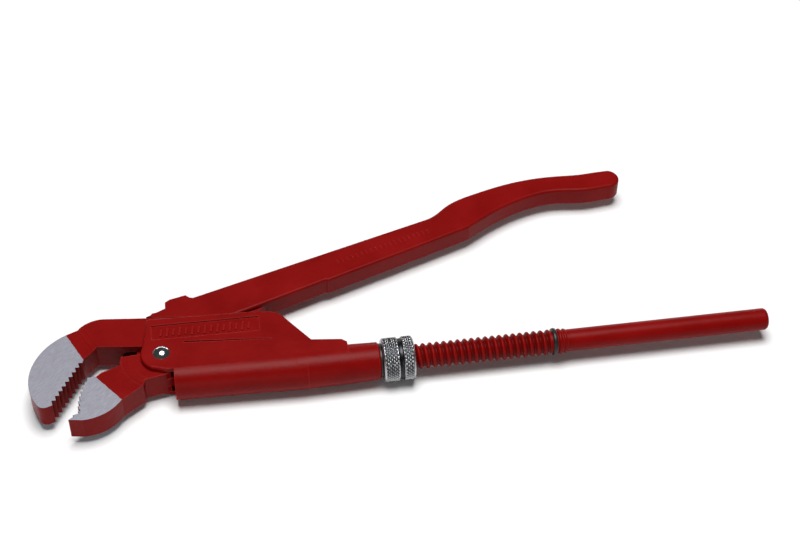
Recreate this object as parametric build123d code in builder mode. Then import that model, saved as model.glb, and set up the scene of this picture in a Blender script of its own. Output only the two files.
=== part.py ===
"""Swedish-pattern pipe wrench, 1 inch size, lying flat on its side.

Millimetres, +Z up. The round rod runs along +X to its handle end, and the flat handle leans
towards +Y. Profiles are drawn on the mid-plane of the tool: x = 0 at the rivet and y = 0 on
the axis of the rod. That mid-plane is moved so that the finished tool is centred in X and Y
and rests on Z = 0.
"""
from build123d import *
import math
import os

# ---- placing the tool -----------------------------------------------------
shift_x = -102.7
shift_y = -39.55
lift = 9.4

# ---- driving dimensions ---------------------------------------------------
# thread and rod
thread_pitch = 3.0
thread_crest_r = 5.54
thread_depth = 1.2
thread_mean_r = thread_crest_r - thread_depth / 2
thread_start = 86.0
thread_turns = 26
thread_start_angle = 98.0
thread_end = thread_start + thread_turns * thread_pitch
core_r = thread_crest_r - thread_depth - 0.1
rod_r = 4.75
rod_end = 260.7

# adjusting nut
nut_start = 91.6
nut_end = 105.1
nut_r = 9.33
nut_groove_start = 98.3
nut_groove_end = 100.3
nut_groove_r = 8.6
thread_play = 0.1

# pivot rivet
rivet_y = 10.3
rivet_r = 3.0
running_fit = 0.05
rivet_head_r = 3.7
rivet_dome = 1.7
rivet_tail = 1.0

# half thicknesses, measured from the mid-plane
jaw_half = 5.4
neck_half = 5.95
blade_half = 2.4
handle_half = 4.6
slot_half = 2.55
cheek_inner = 6.2
cheek_outer = 8.4

# boss of the flat arm around the rivet, which rises from the jaw in two steps
blade_disc_r = 10.2
boss_r = 12.9
step_r = 15.0
ledge_r = 17.1
ledge_rise = 0.15

# shoulder of the hook arm, where the neck rises from the jaw
shoulder_width = 3.0
step_level = 5.72
step_run = 0.45

# bevels that thin the tip of the flat handle on its near side
tip_bevel_angle = 20.0

# jaw teeth
hook_teeth = 9
hook_tooth_cut = 1.8
lower_teeth = 7
lower_tooth_cut = 1.1

# housing
barrel_front = (4.6, 1.6)
barrel_rear = (60.0, -0.35)
barrel_bore_r = 6.9
sleeve_front_r = 8.55
sleeve_rear_r = 8.0
sleeve_end = 90.5
bore_r = 5.85
panel_depth = 0.7

# leaf spring
leaf_thickness = 0.8
leaf_half_width = 2.0
leaf_bend_r = 2.0
leaf_bend_angle = 134.4
leaf_reach = 26.0

flat = Plane(origin=(shift_x, shift_y, lift), x_dir=(1, 0, 0), z_dir=(0, 0, 1))
rod_axis = Axis((shift_x, shift_y, lift), (1, 0, 0))
rivet_axis = Axis((shift_x, shift_y + rivet_y, lift), (0, 0, 1))


def across(x):
    """Plane square to the rod at distance x from the rivet, its own x along +Y."""
    return Plane(origin=(shift_x + x, shift_y, lift), x_dir=(0, 1, 0), z_dir=(1, 0, 0))


def upright(y):
    """Plane square to Y at distance y from the rod, seen along -Y, its own x along +X."""
    return Plane(origin=(shift_x, shift_y + y, lift), x_dir=(1, 0, 0), z_dir=(0, -1, 0))


def twisted_rod(start, turns, radius):
    """Round thread: a circle set off the axis that turns once per pitch, one pitch at a time."""
    angle = math.radians(thread_start_angle + 360 * (start - thread_start) / thread_pitch)
    offset = thread_depth / 2
    pitches = []
    for turn in range(turns):
        x = start + turn * thread_pitch
        with BuildSketch(across(x)) as section:
            with Locations((offset * math.cos(angle), offset * math.sin(angle))):
                Circle(radius)
        pitches.append(
            Solid.extrude_linear_with_rotation(
                section.sketch.faces()[0],
                center=Vector(shift_x + x, shift_y, lift),
                normal=Vector(thread_pitch, 0, 0),
                angle=360,
            )
        )
    return pitches


def stair_teeth(points, cut):
    """Tooth tips joined by a level cut of the given depth and a flank to the next tip."""
    path = []
    for x, y in points:
        path.append((x, y))
        path.append((x + cut, y))
    return path[:-1]


# ---- hook arm: upper jaw, neck, forked shank, threaded rod and round handle ----
hook_first = (-32.9, 11.9)
hook_last = (-45.5, -9.3)
hook_tips = []
for i in range(hook_teeth + 1):
    t = i / hook_teeth
    tip_x = hook_first[0] + t * (hook_last[0] - hook_first[0])
    tip_y = hook_first[1] + t * (hook_last[1] - hook_first[1])
    hook_tips.append((tip_x, tip_y))

shoulder_top = (-34.6, 29.4)
shoulder_foot = (-28.9, 17.8)
with BuildPart() as hook_arm:
    # jaw block
    with BuildSketch(flat):
        with BuildLine():
            Polyline(*stair_teeth(hook_tips, -hook_tooth_cut))
            Line(hook_last, (-47.6, -10.1))
            ThreePointArc((-47.6, -10.1), (-50.2, -10.0), (-51.9, -8.3))
            outer = ThreePointArc((-51.9, -8.3), (-55.3, 3.5), (-53.9, 12.4))
            TangentArc((-53.9, 12.4), (-39.4, 28.3), tangent=outer % 1)
            Polyline((-39.4, 28.3), (-34.0, 30.6), (-32.0, 30.0), (-26.8, 19.4), (-30.0, 15.9))
            ThreePointArc((-30.0, 15.9), (-32.1, 14.1), hook_first)
        make_face()
    extrude(amount=jaw_half, both=True)
    # neck, bar and crank, all one flat bar that is a little thicker than the jaw
    with BuildSketch(flat):
        with BuildLine():
            Line(shoulder_top, (-34.0, 30.6))
            ThreePointArc((-34.0, 30.6), (-29.6, 33.7), (-22.0, 34.6))
            Polyline(
                (-22.0, 34.6), (-6.0, 32.8), (38.0, 27.9), (41.8, 26.9), (57.6, 7.8),
                (57.6, 2.6), (44.5, 2.6), (44.5, 11.5),
            )
            ThreePointArc((44.5, 11.5), (43.5, 14.0), (41.0, 15.0))
            Polyline((41.0, 15.0), (10.0, 15.0), (-6.7, 16.8), (-26.8, 19.4), shoulder_foot,
                     shoulder_top)
        make_face()
    extrude(amount=neck_half, both=True)
    # shoulder where the neck slopes up from the jaw
    shoulder = Vector(shoulder_foot[0] - shoulder_top[0], shoulder_foot[1] - shoulder_top[1], 0)
    shoulder_plane = Plane(
        origin=(shift_x + shoulder_top[0], shift_y + shoulder_top[1], lift),
        x_dir=(-shoulder.Y, shoulder.X, 0),
        z_dir=shoulder,
    )
    for side in (1, -1):
        with BuildSketch(shoulder_plane):
            with BuildLine():
                Polyline(
                    (-0.5, side * jaw_half), (0.0, side * jaw_half),
                    (step_run, side * step_level), (shoulder_width - step_run, side * step_level),
                    (shoulder_width, side * neck_half), (shoulder_width, side * (neck_half + 1)),
                    (-0.5, side * (neck_half + 1)), (-0.5, side * jaw_half),
                )
            make_face()
        extrude(amount=shoulder.length + 3, mode=Mode.SUBTRACT)
    # plain rod from the crank to the handle end, with two small collars behind the stop ring
    with BuildSketch(flat):
        with BuildLine():
            Polyline((44.5, 0), (44.5, rod_r), (thread_start, rod_r), (thread_start + 0.3, core_r),
                     (thread_end - 0.3, core_r), (thread_end, rod_r), (167.4, rod_r))
            ThreePointArc((167.4, rod_r), (168.3, 5.5), (169.2, rod_r))
            Line((169.2, rod_r), (169.7, rod_r))
            ThreePointArc((169.7, rod_r), (170.5, 5.25), (171.3, rod_r))
            Line((171.3, rod_r), (rod_end - 1.6, rod_r))
            ThreePointArc((rod_end - 1.6, rod_r), (rod_end - 0.4, 4.1), (rod_end, 2.8))
            Polyline((rod_end, 2.8), (rod_end, 0), (44.5, 0))
        make_face()
    revolve(axis=rod_axis)
    add(twisted_rod(thread_start, thread_turns, thread_mean_r))
    # slot through the bar and crank that lets the flat arm's blade pass
    with BuildSketch(upright(0)):
        with Locations((18.75, 0)):
            SlotOverall(70.5, 2 * slot_half)
    extrude(amount=40, both=True, mode=Mode.SUBTRACT)
hook_arm.part.label = "hook_arm"

# ---- stop ring sprung on the rod behind the thread ----
with BuildPart() as stop_ring:
    with BuildSketch(flat):
        with BuildLine():
            Polyline((165.1, 5.5), (165.1, 4.8), (166.9, 4.8), (166.9, 5.5))
            ThreePointArc((166.9, 5.5), (166.0, 5.95), (165.1, 5.5))
        make_face()
    revolve(axis=rod_axis)
stop_ring.part.label = "stop_ring"

# ---- flat arm: lower jaw, blade around the rivet, flat handle ----
lower_first = (-31.2, 3.4)
lower_middle = (-34.6, -5.2)
lower_last = (-35.4, -13.9)
with BuildLine(mode=Mode.PRIVATE):
    lower_crest = ThreePointArc(lower_first, lower_middle, lower_last)
lower_tips = []
for i in range(lower_teeth + 1):
    tip = lower_crest @ (i / lower_teeth)
    lower_tips.append((tip.X, tip.Y))

with BuildPart() as flat_arm:
    # lower jaw block
    with BuildSketch(flat):
        with BuildLine():
            Polyline(*stair_teeth(lower_tips[::-1], lower_tooth_cut))
            Polyline(lower_tips[-1], (-34.6, -15.0), (-37.5, -15.8), (-36.9, -16.4),
                     (-39.3, -17.9), (-33.6, -18.9))
            ThreePointArc((-33.6, -18.9), (-25.3, -17.0), (-17.5, -10.3))
            Polyline((-17.5, -10.3), (-8.4, -3.9), (-7.6, -1.4), (1.0, 0.2), (3.0, 1.0),
                     (3.0, 12.6), (-17.1, 12.6), (-17.7, 8.2), (-25.4, 5.2), (-27.6, 3.4),
                     lower_tips[0])
        make_face()
    extrude(amount=neck_half, both=True)
    # flat handle, a little deeper past the relief that faces the housing
    with BuildSketch(flat):
        with BuildLine():
            Polyline((-5.6, 35.0), (-5.6, 35.2), (2.8, 39.2), (13.8, 43.4), (122.9, 77.3))
            Spline((122.9, 77.3), (134.2, 85.0), (147.9, 91.0), (162.0, 95.0), (186.0, 97.6),
                   (199.0, 97.2), (213.2, 98.0), tangents=((0.955, 0.298), (0.93, 0.02)))
            ThreePointArc((213.2, 98.0), (217.3, 92.8), (211.0, 87.2))
            Spline((211.0, 87.2), (199.5, 86.2), (187.0, 87.4), (170.3, 84.6), (154.5, 77.6),
                   (142.0, 69.8), tangents=((-0.95, -0.12), (-0.8, -0.5)))
            Polyline((142.0, 69.8), (118.6, 61.2), (74.4, 45.4), (73.6, 45.9), (45.5, 35.8),
                     (31.0, 30.8), (-2.0, 33.8), (-5.6, 35.0))
        make_face()
    extrude(amount=handle_half, both=True)
    handle_edges = flat_arm.edges().filter_by(
        lambda e: abs(abs(e.center().Z - lift) - handle_half) < 0.01
        and e.center().Y - shift_y > 38
    )
    fillet(handle_edges, radius=1.1)
    # the near side of the handle's tip slopes down on both faces
    for side in (1, -1):
        slope = Plane(
            origin=(shift_x + 178.0, shift_y + 86.6, lift + side * handle_half),
            x_dir=(0.957, 0.289, 0),
            z_dir=(0, 0, side),
        ).rotated((side * tip_bevel_angle, 0, 0))
        with BuildSketch(slope):
            with Locations((25, -side * 10)):
                Rectangle(50, 20)
        extrude(amount=8, mode=Mode.SUBTRACT)
    # lug on the far edge of the handle, just outside the housing
    with BuildSketch(flat):
        with BuildLine():
            Polyline((2.8, 38.0), (2.9, 42.0), (5.0, 43.5), (12.0, 45.2), (13.6, 43.6),
                     (20.0, 42.0), (2.8, 38.0))
        make_face()
    extrude(amount=handle_half, both=True)
    # thin blade that crosses the hook arm inside the housing
    with BuildSketch(flat):
        with Locations((0, rivet_y)):
            Circle(blade_disc_r)
        with BuildLine():
            Polyline((-12.6, 8.1), (-5.6, 34.8), (-3.0, 38.5), (10.0, 40.0), (50.0, 42.0),
                     (45.5, 35.8), (24.0, 19.0), (9.0, 15.5), (0.0, rivet_y), (-12.6, 8.1))
        make_face()
    extrude(amount=blade_half, both=True)
    # turned steps around the rivet, from the boss down to the jaw
    for side in (1, -1):
        with BuildSketch(upright(rivet_y)):
            with BuildLine():
                Polyline(
                    (boss_r, side * neck_half), (boss_r + step_run, side * step_level),
                    (step_r - step_run, side * step_level),
                    (step_r, side * (jaw_half + ledge_rise)),
                    (ledge_r, side * (jaw_half + ledge_rise)), (ledge_r, side * jaw_half),
                    (60.0, side * jaw_half), (60.0, side * (neck_half + 1)),
                    (boss_r, side * (neck_half + 1)), (boss_r, side * neck_half),
                )
            make_face()
        revolve(axis=rivet_axis, mode=Mode.SUBTRACT)
    with BuildSketch(flat):
        with Locations((0, rivet_y)):
            Circle(rivet_r + running_fit)
    extrude(amount=neck_half + 1, both=True, mode=Mode.SUBTRACT)
flat_arm.part.label = "flat_arm"

# ---- housing: two cheeks over both arms and a barrel around the rod ----
slant_top = (45.45, 26.4)
slant_foot = (60.95, 7.7)
with BuildPart() as housing:
    with BuildSketch(flat):
        with BuildLine():
            Polyline((-5.4, 30.0), (-7.8, 14.5))
            ThreePointArc((-7.8, 14.5), (-8.5, 8.0), (-4.7, 2.8))
            Polyline((-4.7, 2.8), (1.0, 0.9), (6.0, 0.9), (60.0, -0.4), (77.5, 0.0), (77.5, 6.0),
                     (75.5, 7.6), (62.8, 9.2), (53.2, 22.8))
            ThreePointArc((53.2, 22.8), (50.2, 26.2), (46.0, 27.6))
            Polyline((46.0, 27.6), (41.0, 28.4), (9.0, 29.6), (-5.4, 30.0))
        make_face()
    extrude(amount=cheek_outer, both=True)
    # rounded outer edges of the cheeks
    outline = housing.edges().filter_by(lambda e: abs(abs(e.center().Z - lift) - cheek_outer) < 0.01)
    covered = outline.filter_by(
        lambda e: e.center().Y < shift_y + 3.5 and e.center().X > shift_x + 1.0
    )
    fillet([e for e in outline if e not in covered], radius=0.9)
    # the lower edges of the cheeks round into a barrel that deepens towards the rear
    barrel_run = Vector(barrel_rear[0] - barrel_front[0], barrel_rear[1] - barrel_front[1], 0)
    barrel_plane = Plane(
        origin=(shift_x + barrel_front[0], shift_y + barrel_front[1], lift),
        x_dir=(0, 0, -1),
        z_dir=barrel_run,
    )
    with BuildSketch(barrel_plane):
        Circle(cheek_outer)
        with Locations((0, 3.0)):
            Rectangle(2 * cheek_outer, 6.0)
    extrude(amount=barrel_run.length)
    # round sleeve that the nut bears on
    with BuildSketch(flat):
        with BuildLine():
            Polyline((50.0, 0), (50.0, 8.0), (56.0, sleeve_front_r), (64.0, sleeve_front_r),
                     (76.0, 8.4), (sleeve_end - 0.6, sleeve_rear_r),
                     (sleeve_end, sleeve_rear_r - 0.6), (sleeve_end, 0), (50.0, 0))
        make_face()
    revolve(axis=rod_axis)
    # slot between the cheeks, open at the front and along the top
    with BuildSketch(flat):
        with BuildLine():
            Polyline((-12.0, -0.7), (60.8, -0.7), slant_foot, slant_top, (39.0, 34.2),
                     (-12.0, 36.0), (-12.0, -0.7))
        make_face()
    extrude(amount=cheek_inner, both=True, mode=Mode.SUBTRACT)
    # round hollow of the barrel
    with BuildSketch(barrel_plane):
        Circle(barrel_bore_r)
    extrude(amount=barrel_run.length, mode=Mode.SUBTRACT)
    # bore for the rod
    with BuildSketch(across(40.0)):
        Circle(bore_r)
    extrude(amount=60, mode=Mode.SUBTRACT)
    # rivet hole
    with BuildSketch(flat):
        with Locations((0, rivet_y)):
            Circle(rivet_r + running_fit)
    extrude(amount=cheek_outer + 1, both=True, mode=Mode.SUBTRACT)
    # sunk panel on the upper cheek
    with BuildSketch(flat.offset(cheek_outer - panel_depth)):
        with BuildLine():
            Polyline((-3.6, 17.8), (41.9, 17.0), (41.9, 25.2), (-3.6, 25.8), (-3.6, 17.8))
        make_face()
    extrude(amount=2, mode=Mode.SUBTRACT)
    # shallow groove under the panel, where the barrel swells past the cheek
    with BuildSketch(flat.offset(cheek_outer - panel_depth)):
        with BuildLine():
            Polyline((9.6, 14.6), (46.3, 11.6), (46.3, 11.9), (9.6, 15.4), (9.6, 14.6))
        make_face()
    extrude(amount=2, mode=Mode.SUBTRACT)
housing.part.label = "housing"

# ---- pivot rivet with a domed head above and a flatter tail below ----
dome_sphere_r = (rivet_head_r**2 + rivet_dome**2) / (2 * rivet_dome)
with BuildPart() as pivot_rivet:
    with BuildSketch(upright(rivet_y)):
        with BuildLine():
            Polyline((0, -cheek_outer - rivet_tail), (2.4, -cheek_outer - rivet_tail))
            ThreePointArc(
                (2.4, -cheek_outer - rivet_tail),
                (3.4, -cheek_outer - 0.6),
                (rivet_head_r, -cheek_outer),
            )
            Polyline((rivet_head_r, -cheek_outer), (rivet_r, -cheek_outer),
                     (rivet_r, cheek_outer), (rivet_head_r, cheek_outer))
            RadiusArc(
                (rivet_head_r, cheek_outer), (0, cheek_outer + rivet_dome), -dome_sphere_r
            )
            Line((0, cheek_outer + rivet_dome), (0, -cheek_outer - rivet_tail))
        make_face()
    revolve(axis=rivet_axis)
pivot_rivet.part.label = "pivot_rivet"

# ---- adjusting nut: two bands with a groove between, cut with the matching round thread ----
with BuildPart() as adjusting_nut:
    with BuildSketch(flat):
        with BuildLine():
            Polyline(
                (nut_start, 0), (nut_start, nut_r - 0.7), (nut_start + 0.7, nut_r),
                (nut_groove_start, nut_r), (nut_groove_start + 0.35, nut_groove_r),
                (nut_groove_end - 0.35, nut_groove_r), (nut_groove_end, nut_r),
                (nut_end - 0.7, nut_r), (nut_end, nut_r - 0.7), (nut_end, 0), (nut_start, 0),
            )
        make_face()
    revolve(axis=rod_axis)
    add(
        twisted_rod(nut_start - 2.0, 6, thread_mean_r + thread_play),
        mode=Mode.SUBTRACT,
    )
adjusting_nut.part.label = "adjusting_nut"

# ---- thrust washer between the sleeve and the nut ----
with BuildPart() as thrust_washer:
    with BuildSketch(across(sleeve_end)):
        Circle(7.3)
        Circle(bore_r + 0.05, mode=Mode.SUBTRACT)
    extrude(amount=0.9)
thrust_washer.part.label = "thrust_washer"

# ---- leaf spring held against the housing's slanted wall, under the blade ----
slant = Vector(slant_foot[0] - slant_top[0], slant_foot[1] - slant_top[1], 0).normalized()
inward = Vector(slant.Y, -slant.X, 0)
seat_start = Vector(*slant_top, 0) + slant * 2.0 + inward * (leaf_thickness / 2)
seat_end = seat_start + slant * 8.5
bend_centre = seat_end + inward * leaf_bend_r
with BuildPart() as leaf_spring:
    with BuildSketch(flat):
        with BuildLine():
            Line(seat_start, seat_end)
            bend_start = math.degrees(math.atan2(-inward.Y, -inward.X))
            bend = CenterArc(bend_centre, leaf_bend_r, bend_start, -leaf_bend_angle)
            Line(bend @ 1, bend @ 1 + (bend % 1) * leaf_reach)
        trace(line_width=leaf_thickness)
    extrude(amount=leaf_half_width, both=True)
leaf_spring.part.label = "leaf_spring"

os.makedirs("parts", exist_ok=True)
export_step(housing.part, "parts/housing.step")
export_step(pivot_rivet.part, "parts/pivot_rivet.step")
export_step(leaf_spring.part, "parts/leaf_spring.step")
export_step(thrust_washer.part, "parts/thrust_washer.step")
export_step(flat_arm.part, "parts/flat_arm.step")
export_step(hook_arm.part, "parts/hook_arm.step")
export_step(stop_ring.part, "parts/stop_ring.step")
export_step(adjusting_nut.part, "parts/adjusting_nut.step")
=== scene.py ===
import bpy
import math
from mathutils import Vector, Matrix


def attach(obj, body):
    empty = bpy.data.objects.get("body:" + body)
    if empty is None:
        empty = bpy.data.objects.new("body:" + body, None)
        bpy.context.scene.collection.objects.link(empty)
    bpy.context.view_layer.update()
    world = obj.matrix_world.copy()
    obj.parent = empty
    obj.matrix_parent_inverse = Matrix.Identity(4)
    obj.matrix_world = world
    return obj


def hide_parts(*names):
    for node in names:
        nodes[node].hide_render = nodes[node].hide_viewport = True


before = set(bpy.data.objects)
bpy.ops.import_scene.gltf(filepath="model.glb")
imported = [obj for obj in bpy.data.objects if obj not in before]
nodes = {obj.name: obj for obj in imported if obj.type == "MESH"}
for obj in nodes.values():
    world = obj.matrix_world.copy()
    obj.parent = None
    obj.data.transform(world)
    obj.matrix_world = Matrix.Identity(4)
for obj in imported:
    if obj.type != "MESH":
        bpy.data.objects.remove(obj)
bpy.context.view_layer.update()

# The tool's own drawing frame in the row frame: x = 0 at the rivet, y = 0 and z = 0 on the rod axis.
ORIGIN = Vector((-0.1027, -0.03955, 0.0094))
MM = 0.001

# ground steel lies on faces this close to level, and this far from the mid-plane in metres
FLAT_ENOUGH = 0.95
JAW_SIDE_LEVEL = 0.00532
# where a rounded edge gets painted highlight: one minus the cosine of the turn of the normal
HIGHLIGHT_FROM, HIGHLIGHT_TO = 0.004, 0.06
BEVEL_SAMPLES = 6


def at(x, y, z=0.0):
    return ORIGIN + Vector((x, y, z)) * MM


# ---------------------------------------------------------------- materials
def new_material(name):
    m = bpy.data.materials.new(name)
    m.use_nodes = True
    nt = m.node_tree
    nt.nodes.clear()
    out = nt.nodes.new("ShaderNodeOutputMaterial")
    bsdf = nt.nodes.new("ShaderNodeBsdfPrincipled")
    nt.links.new(bsdf.outputs[0], out.inputs[0])
    return m, nt, bsdf


def link(nt, a, b):
    nt.links.new(a, b)


def math_node(nt, op, a, b=None, c=None, clamp=False):
    n = nt.nodes.new("ShaderNodeMath")
    n.operation = op
    n.use_clamp = clamp
    for i, v in enumerate((a, b, c)):
        if v is None:
            continue
        if isinstance(v, (int, float)):
            n.inputs[i].default_value = v
        else:
            nt.links.new(v, n.inputs[i])
    return n.outputs[0]


def mix_color(nt, fac, a, b, mode="MIX"):
    n = nt.nodes.new("ShaderNodeMix")
    n.data_type = "RGBA"
    n.blend_type = mode
    for sock, v in ((n.inputs[0], fac), (n.inputs[6], a), (n.inputs[7], b)):
        if isinstance(v, (int, float)):
            sock.default_value = v
        elif isinstance(v, tuple):
            sock.default_value = (*v, 1.0)
        else:
            nt.links.new(v, sock)
    return n.outputs[2]


def ramp(nt, fac, low, high):
    n = nt.nodes.new("ShaderNodeMapRange")
    n.inputs["From Min"].default_value = low
    n.inputs["From Max"].default_value = high
    nt.links.new(fac, n.inputs["Value"])
    return n.outputs[0]


def noise(nt, vec, scale, detail=4.0, rough=0.55):
    n = nt.nodes.new("ShaderNodeTexNoise")
    n.inputs["Scale"].default_value = scale
    n.inputs["Detail"].default_value = detail
    n.inputs["Roughness"].default_value = rough
    nt.links.new(vec, n.inputs["Vector"])
    return n.outputs["Fac"]


def object_coords(nt):
    return nt.nodes.new("ShaderNodeTexCoord").outputs["Object"]


def left_of_line(nt, sep, p, q):
    """Distance in metres to the left of the line from p to q, which are in drawing millimetres."""
    a, b = at(*p), at(*q)
    d = (b - a).normalized()
    x = math_node(nt, "MULTIPLY", sep.outputs[0], -d.y)
    y = math_node(nt, "MULTIPLY_ADD", sep.outputs[1], d.x, x)
    return math_node(nt, "SUBTRACT", y, -d.y * a.x + d.x * a.y)


def edge_normal(nt, radius):
    """Normal that rounds the sharp edges a little, as the enamel does."""
    n = nt.nodes.new("ShaderNodeBevel")
    n.samples = BEVEL_SAMPLES
    n.inputs["Radius"].default_value = radius
    return n.outputs[0]


def edge_highlight_mask(nt, radius):
    """Rises from 0 on a flat face to 1 on a sharp edge, where a painted highlight goes."""
    geo = nt.nodes.new("ShaderNodeNewGeometry")
    dot = nt.nodes.new("ShaderNodeVectorMath")
    dot.operation = "DOT_PRODUCT"
    link(nt, edge_normal(nt, radius), dot.inputs[0])
    link(nt, geo.outputs["Normal"], dot.inputs[1])
    return ramp(nt, math_node(nt, "SUBTRACT", 1.0, dot.outputs["Value"]), HIGHLIGHT_FROM, HIGHLIGHT_TO)


def groove_shade_mask(nt, co, crest_r, root_r, start, end):
    """1 at the root of a groove round the rod axis and 0 on its crest, between two places along the rod:
    where painted shade goes.
    """
    sep = nt.nodes.new("ShaderNodeSeparateXYZ")
    link(nt, co, sep.inputs[0])
    across = math_node(nt, "POWER", math_node(nt, "SUBTRACT", sep.outputs[1], ORIGIN.y), 2.0)
    above = math_node(nt, "POWER", math_node(nt, "SUBTRACT", sep.outputs[2], ORIGIN.z), 2.0)
    reach = math_node(nt, "SQRT", math_node(nt, "ADD", across, above))
    depth = ramp(nt, reach, crest_r * MM, root_r * MM)
    past_start = math_node(nt, "GREATER_THAN", sep.outputs[0], at(start, 0).x)
    before_end = math_node(nt, "LESS_THAN", sep.outputs[0], at(end, 0).x)
    return math_node(nt, "MULTIPLY", depth, math_node(nt, "MULTIPLY", past_start, before_end))


def ground_mask(nt, co, ground):
    """1 on the flat sides of the jaw, on the left of the given line."""
    sep = nt.nodes.new("ShaderNodeSeparateXYZ")
    link(nt, co, sep.inputs[0])
    geo = nt.nodes.new("ShaderNodeNewGeometry")
    turn = nt.nodes.new("ShaderNodeVectorTransform")
    turn.vector_type = "NORMAL"
    turn.convert_from = "WORLD"
    turn.convert_to = "OBJECT"
    link(nt, geo.outputs["True Normal"], turn.inputs[0])
    normal = nt.nodes.new("ShaderNodeSeparateXYZ")
    link(nt, turn.outputs[0], normal.inputs[0])
    flat = math_node(nt, "GREATER_THAN", math_node(nt, "ABSOLUTE", normal.outputs[2]), FLAT_ENOUGH)
    level = math_node(nt, "ABSOLUTE", math_node(nt, "SUBTRACT", sep.outputs[2], ORIGIN.z))
    level = math_node(nt, "GREATER_THAN", level, JAW_SIDE_LEVEL)
    ragged = math_node(nt, "MULTIPLY_ADD", noise(nt, co, 700.0, 3.0), 0.0007, -0.00035)
    side = math_node(nt, "ADD", left_of_line(nt, sep, *ground), ragged)
    side = math_node(nt, "GREATER_THAN", side, 0.0)
    return math_node(nt, "MULTIPLY", math_node(nt, "MULTIPLY", side, flat), level)


def mix_value(nt, fac, a, b):
    n = nt.nodes.new("ShaderNodeMix")
    link(nt, fac, n.inputs[0])
    for sock, v in ((n.inputs[2], a), (n.inputs[3], b)):
        if isinstance(v, (int, float)):
            sock.default_value = v
        else:
            link(nt, v, sock)
    return n.outputs[0]


def red_enamel(name, ground=None, edge=0.00035, thread=None):
    """Satin red enamel over forged steel.

    Left of the ground line the flat faces are bare steel. The roots of a thread get painted shade, and sharp
    edges a painted highlight.
    """
    m, nt, bsdf = new_material(name)
    co = object_coords(nt)
    base = noise(nt, co, 60.0, 5.0)
    fine = noise(nt, co, 1100.0, 3.0)
    red = mix_color(nt, ramp(nt, base, 0.35, 0.7), (0.175, 0.0018, 0.0014), (0.215, 0.0026, 0.0022))
    speck = math_node(nt, "MULTIPLY", ramp(nt, noise(nt, co, 2600.0, 2.0), 0.6, 0.72), 0.25)
    red = mix_color(nt, speck, red, (0.27, 0.010, 0.009))
    # painted highlight: sharp convex and concave edges lightened towards a pale red
    red = mix_color(nt, math_node(nt, "MULTIPLY", edge_highlight_mask(nt, edge * 1.6), 0.6), red, (0.40, 0.024, 0.020))
    if thread:
        # painted shade: the roots of the thread darkened towards a near black red
        painted_valley_shade = math_node(nt, "MULTIPLY", groove_shade_mask(nt, co, *thread), 0.65)
        red = mix_color(nt, painted_valley_shade, red, (0.045, 0.002, 0.0015))
    rough = math_node(nt, "MULTIPLY_ADD", base, 0.16, 0.30)
    height = math_node(nt, "MULTIPLY_ADD", fine, 0.3, noise(nt, co, 360.0, 3.0, 0.6))
    bsdf.inputs["Specular IOR Level"].default_value = 0.08
    if ground:
        mask = ground_mask(nt, co, ground)
        grain = []
        for turn, across in ((52, 2600.0), (24, 1900.0)):
            mp = nt.nodes.new("ShaderNodeMapping")
            mp.vector_type = "TEXTURE"
            mp.inputs["Rotation"].default_value = (0, 0, math.radians(turn))
            mp.inputs["Scale"].default_value = (1 / 260.0, 1 / across, 1.0)
            link(nt, co, mp.inputs["Vector"])
            grain.append(noise(nt, mp.outputs[0], 1.0, 3.0, 0.75))
        scratch = math_node(nt, "MULTIPLY_ADD", grain[0], 0.6, math_node(nt, "MULTIPLY", grain[1], 0.4))
        steel = mix_color(nt, ramp(nt, scratch, 0.38, 0.62), (0.24, 0.24, 0.285), (0.37, 0.37, 0.42))
        blotch = ramp(nt, noise(nt, co, 260.0, 4.0), 0.35, 0.75)
        steel = mix_color(nt, math_node(nt, "MULTIPLY", blotch, 0.4), steel, (0.27, 0.255, 0.30))
        red = mix_color(nt, mask, red, steel)
        rough = mix_value(nt, mask, rough, math_node(nt, "MULTIPLY_ADD", scratch, 0.25, 0.36))
        height = mix_value(nt, mask, height, math_node(nt, "MULTIPLY", scratch, 0.5))
        link(nt, math_node(nt, "MULTIPLY", mask, 0.35), bsdf.inputs["Metallic"])
    bump = nt.nodes.new("ShaderNodeBump")
    bump.inputs["Strength"].default_value = 0.45
    bump.inputs["Distance"].default_value = 0.00022
    link(nt, edge_normal(nt, edge), bump.inputs["Normal"])
    link(nt, height, bump.inputs["Height"])
    link(nt, bump.outputs[0], bsdf.inputs["Normal"])
    link(nt, red, bsdf.inputs["Base Color"])
    link(nt, rough, bsdf.inputs["Roughness"])
    return m


def metal_material(name, dark, light, rough, scale=900.0, bump_strength=0.1, metallic=1.0, knurl=None):
    """Bare or plated metal between two greys. The grooves of a knurl get painted shade."""
    m, nt, bsdf = new_material(name)
    co = object_coords(nt)
    n1 = noise(nt, co, scale, 4.0)
    n2 = noise(nt, co, scale * 0.12, 3.0)
    color = mix_color(nt, ramp(nt, n1, 0.3, 0.7), dark, light)
    color = mix_color(nt, math_node(nt, "MULTIPLY", n2, 0.3), color, dark)
    if knurl:
        # painted shade: the knurl's grooves darkened towards near black
        color = mix_color(nt, groove_shade_mask(nt, co, *knurl), color, (0.03, 0.03, 0.034))
    link(nt, color, bsdf.inputs["Base Color"])
    link(nt, math_node(nt, "MULTIPLY_ADD", n1, 0.12, rough - 0.06), bsdf.inputs["Roughness"])
    bsdf.inputs["Metallic"].default_value = metallic
    bump = nt.nodes.new("ShaderNodeBump")
    bump.inputs["Strength"].default_value = bump_strength
    bump.inputs["Distance"].default_value = 0.00005
    link(nt, n1, bump.inputs["Height"])
    link(nt, bump.outputs[0], bsdf.inputs["Normal"])
    return m
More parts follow.
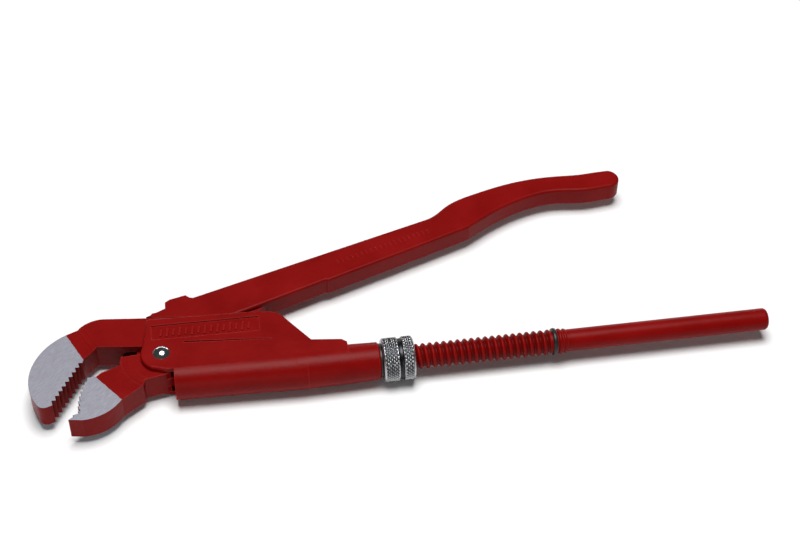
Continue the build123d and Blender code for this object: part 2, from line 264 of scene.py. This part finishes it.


# grooves round the rod axis that get painted shade: crest radius, root radius, start and end along the rod
ROD_THREAD = (5.35, 4.4, 86.0, 164.0)
NUT_KNURL = (9.2, 8.85, 92.3, 104.6)
HOOK_GROUND = ((-32.35, 13.1), (-39.4, 28.1))
LOWER_GROUND = ((-17.5, -10.3), (-27.7, 3.3))
enamel_housing = red_enamel("housing_enamel")
enamel_hook = red_enamel("hook_enamel", HOOK_GROUND, 0.0002, ROD_THREAD)
enamel_flat = red_enamel("flat_enamel", LOWER_GROUND)
zinc = metal_material("zinc_plate", (0.34, 0.345, 0.36), (0.58, 0.59, 0.605), 0.34,
                      knurl=NUT_KNURL)
rivet_steel = metal_material("rivet_steel", (0.62, 0.63, 0.65), (0.80, 0.81, 0.82), 0.13, 500.0, 0.04)
black = metal_material("blackened", (0.010, 0.009, 0.009), (0.025, 0.022, 0.02), 0.42, 1500.0, 0.2, 0.3)
spring_steel = metal_material("spring_steel", (0.10, 0.11, 0.15), (0.22, 0.23, 0.27), 0.35)


def dress(node, material):
    node.data.materials.clear()
    node.data.materials.append(material)
    for p in node.data.polygons:
        p.use_smooth = True


dress(nodes["housing"], enamel_housing)
dress(nodes["hook_arm"], enamel_hook)
dress(nodes["flat_arm"], enamel_flat)
dress(nodes["leaf_spring"], spring_steel)


# ---------------------------------------------------------------- pieces built here
def piece(name, verts, faces, material, body, slot, *replaced, sharp=35.0):
    """A mesh from drawing millimetres that rides on a body."""
    me = bpy.data.meshes.new(name)
    me.from_pydata([at(*v) for v in verts], [], faces)
    me.materials.append(material)
    for p in me.polygons:
        p.use_smooth = True
    me.set_sharp_from_angle(angle=math.radians(sharp))
    me.update()
    o = bpy.data.objects.new(name, me)
    bpy.context.scene.collection.objects.link(o)
    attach(o, body)
    if replaced:
        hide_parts(*replaced)
    return o


def ring_faces(rings, around, closed):
    """Quads between successive rings of points; closed joins the last ring to the first."""
    faces = []
    for i in range(rings if closed else rings - 1):
        j = (i + 1) % rings
        for k in range(around):
            m = (k + 1) % around
            faces.append((i * around + k, i * around + m, j * around + m, j * around + k))
    return faces


def lathe_x(profile, around, radius=lambda x, r, turn: r):
    """Points of a closed profile of (x, r) turned about the rod axis."""
    verts = []
    for x, r in profile:
        for k in range(around):
            turn = 2 * math.pi * k / around
            reach = radius(x, r, turn)
            verts.append((x, reach * math.cos(turn), reach * math.sin(turn)))
    return verts


def steps(start, end, count):
    return [start + (end - start) * i / count for i in range(count + 1)]


# adjusting nut: two bands of diamond knurling with a smooth groove between them
NUT_R = 9.32
NUT_BORE = 5.75
KNURL_DEPTH = 0.5
KNURL_COUNT = 34
KNURL_PITCH = 1.7
KNURL_BANDS = ((92.4, 98.0), (100.6, 104.3))
NUT_AROUND = KNURL_COUNT * 10


def wave(u):
    """0 in a groove and 1 half way to the next."""
    return 1 - 2 * abs(u % 1.0 - 0.5)


def knurl(x, r, turn):
    if r < NUT_R - 0.001:
        return r
    for start, end in KNURL_BANDS:
        if start - 0.01 <= x <= end + 0.01:
            fade = min(1.0, (x - start) / 0.25 + 0.15, (end - x) / 0.25 + 0.15)
            u = KNURL_COUNT * turn / (2 * math.pi)
            peak = min(wave(u + x / KNURL_PITCH), wave(u - x / KNURL_PITCH))
            peak = min(1.0, peak * 1.25)
            return r - KNURL_DEPTH * (1 - peak) * max(0.0, fade)
    return r


nut_profile = [(91.6, NUT_BORE + 0.5), (91.6, 8.5), (91.75, 8.75), (92.25, 9.25)]
nut_profile += [(x, NUT_R) for x in steps(*KNURL_BANDS[0], 36)]
nut_profile += [(98.15, 9.25), (98.3, 9.1), (98.45, 8.7), (98.7, 8.62), (99.9, 8.62), (100.15, 8.7),
                (100.3, 9.1), (100.45, 9.25)]
nut_profile += [(x, NUT_R) for x in steps(*KNURL_BANDS[1], 24)]
nut_profile += [(104.45, 9.25), (104.95, 8.75), (105.1, 8.5), (105.1, NUT_BORE + 0.5),
                (104.6, NUT_BORE), (92.1, NUT_BORE)]
piece("nut_knurled", lathe_x(nut_profile, NUT_AROUND, knurl),
      ring_faces(len(nut_profile), NUT_AROUND, True), zinc, "nut", "plated_steel",
      "adjusting_nut", sharp=60.0)

# stop ring and thrust washer: round black rings
RING_AROUND = 96
STOP_MIDDLE = 166.0
STOP_HALF = 0.9
stop_profile = [(STOP_MIDDLE - STOP_HALF, 4.82), (STOP_MIDDLE - STOP_HALF, 5.4)]
stop_profile += [(STOP_MIDDLE - STOP_HALF * math.cos(a), 5.45 + 0.49 * math.sin(a))
                 for a in steps(0.15, math.pi - 0.15, 10)]
stop_profile += [(STOP_MIDDLE + STOP_HALF, 5.4), (STOP_MIDDLE + STOP_HALF, 4.82)]
piece("stop_ring_round", lathe_x(stop_profile, RING_AROUND),
      ring_faces(len(stop_profile), RING_AROUND, True), black, "hook_arm", "blackened_steel", "stop_ring")
washer_profile = [(90.5, 5.92), (90.5, 7.15), (90.62, 7.28), (91.28, 7.28), (91.4, 7.15), (91.4, 5.92)]
piece("thrust_ring", lathe_x(washer_profile, RING_AROUND),
      ring_faces(len(washer_profile), RING_AROUND, True), black, "housing", "blackened_steel",
      "thrust_washer")

# pivot rivet: polished dome above, lower upset tail below
RIVET_Y = 10.3
RIVET_HEAD_R = 3.7
RIVET_DOME = 1.7
CHEEK = 8.4
dome_r = (RIVET_HEAD_R ** 2 + RIVET_DOME ** 2) / (2 * RIVET_DOME)
dome_half = math.asin(RIVET_HEAD_R / dome_r)
rivet_profile = [(dome_r * math.sin(a), CHEEK + RIVET_DOME - dome_r * (1 - math.cos(a)))
                 for a in steps(0.02, dome_half, 18)]
rivet_profile += [(3.0, CHEEK), (3.0, -CHEEK), (3.7, -CHEEK), (3.62, -CHEEK - 0.25), (3.4, -CHEEK - 0.6),
                  (3.0, -CHEEK - 0.88), (2.4, -CHEEK - 0.99), (0.05, -CHEEK - 0.99)]
rivet_verts = []
for r, z in rivet_profile:
    for k in range(RING_AROUND):
        turn = -2 * math.pi * k / RING_AROUND
        rivet_verts.append((r * math.cos(turn), RIVET_Y + r * math.sin(turn), z))
rivet_faces = ring_faces(len(rivet_profile), RING_AROUND, False)
rivet_faces.append(tuple(range(RING_AROUND))[::-1])
last = (len(rivet_profile) - 1) * RING_AROUND
rivet_faces.append(tuple(range(last, last + RING_AROUND)))
piece("rivet_domed", rivet_verts, rivet_faces, rivet_steel, "housing", "polished_steel", "pivot_rivet")


# plain raised relief: rounded bars with sloping sides
def raised_bars(bars, base, height, along):
    """Bars of (x, y, length, width) in drawing millimetres, turned to the direction along."""
    verts, faces = [], []
    ux, uy = math.cos(along), math.sin(along)
    for x, y, length, width in bars:
        first = len(verts)
        corner = min(length, width) * 0.32
        for level, inset in ((base, 0.0), (base + height * 0.7, 0.08), (base + height, 0.24)):
            for sx, sy, start in ((1, 1, 0), (-1, 1, 90), (-1, -1, 180), (1, -1, 270)):
                for step in range(5):
                    a = math.radians(start + 22.5 * step)
                    px = sx * (length / 2 - corner) + (corner - inset) * math.cos(a)
                    py = sy * (width / 2 - corner) + (corner - inset) * math.sin(a)
                    verts.append((x + px * ux - py * uy, y + px * uy + py * ux, level))
        faces += [tuple(first + i for i in f) for f in ring_faces(3, 20, False)]
        faces.append(tuple(first + 40 + i for i in range(20)))
        faces.append(tuple(first + 19 - i for i in range(20)))
    return verts, faces


RIBS = 15
panel_ribs = [(0.4 + 2.65 * i, 21.55 - 0.05 * i, 1.15, 4.9 if i % 2 else 3.7) for i in range(RIBS)]
verts, faces = raised_bars(panel_ribs, 7.66, 0.6, math.radians(-10.0))
piece("panel_relief", verts, faces, enamel_housing, "housing", "red_enamel")

# the middle of the flat handle's straight run leans by this angle
HANDLE_LEAN = math.atan2(77.3 - 43.4, 122.9 - 13.8)
HANDLE_RIBS = 20
HANDLE_RIB_PITCH = 2.35
handle_ribs = []
for i in range(HANDLE_RIBS):
    s = i * HANDLE_RIB_PITCH
    handle_ribs.append((80.0 + s * math.cos(HANDLE_LEAN), 56.0 + s * math.sin(HANDLE_LEAN), 0.75, 2.4))
verts, faces = raised_bars(handle_ribs, 4.5, 0.34, HANDLE_LEAN)
piece("handle_relief", verts, faces, enamel_flat, "flat_arm", "red_enamel")


# ---------------------------------------------------------------- stage
def floor():
    me = bpy.data.meshes.new("floor")
    half = 3.0
    corners = [(-half, -half, 0), (half, -half, 0), (half, half, 0), (-half, half, 0)]
    me.from_pydata(corners, [], [(0, 1, 2, 3)])
    o = bpy.data.objects.new("floor", me)
    bpy.context.scene.collection.objects.link(o)
    m, _, bsdf = new_material("floor_white")
    bsdf.inputs["Base Color"].default_value = (0.9, 0.9, 0.9, 1)
    bsdf.inputs["Roughness"].default_value = 0.6
    me.materials.append(m)


floor()


def area_light(name, pos, target, size, power, size_y=None):
    l = bpy.data.lights.new(name, "AREA")
    l.energy = power
    l.size = size
    l.shape = "DISK"
    if size_y:
        l.shape = "RECTANGLE"
        l.size_y = size_y
    o = bpy.data.objects.new(name, l)
    bpy.context.scene.collection.objects.link(o)
    o.location = pos
    d = Vector(target) - Vector(pos)
    o.rotation_euler = d.to_track_quat("-Z", "Y").to_euler()


area_light("top", (0.0, 0.05, 1.4), (0, 0, 0), 0.9, 24)
area_light("front", (-0.3, -1.3, 0.42), (0, 0, 0), 0.7, 2.6)
area_light("rim", (0.05, 1.2, 0.16), (0.05, 0, 0), 1.4, 2.2, 0.1)
world = bpy.data.worlds.new("studio")
world.use_nodes = True
world.node_tree.nodes["Background"].inputs[0].default_value = (1, 1, 1, 1)
world.node_tree.nodes["Background"].inputs[1].default_value = 0.05
bpy.context.scene.world = world
# plain display of the colours, so that the enamel keeps its deep red
bpy.context.scene.view_settings.view_transform = "Standard"

# ---------------------------------------------------------------- camera
cam = bpy.data.cameras.new("cam")
cam.sensor_width = 36
cam.lens = 74.601
cam_obj = bpy.data.objects.new("cam", cam)
bpy.context.scene.collection.objects.link(cam_obj)
psi, elev, roll = math.radians(-9.674), math.radians(45.98), math.radians(1.141)
right = Vector((math.cos(psi), math.sin(psi), 0))
ahead = Vector((-math.sin(psi), math.cos(psi), 0))
look = ahead * math.cos(elev) - Vector((0, 0, 1)) * math.sin(elev)
up = ahead * math.sin(elev) + Vector((0, 0, 1)) * math.cos(elev)
r = right * math.cos(roll) + up * math.sin(roll)
u = up * math.cos(roll) - right * math.sin(roll)
mat = Matrix((r, u, -look)).transposed().to_4x4()
mat.translation = at(21.23, -453.69, 532.16)
cam_obj.matrix_world = mat
bpy.context.scene.camera = cam_obj
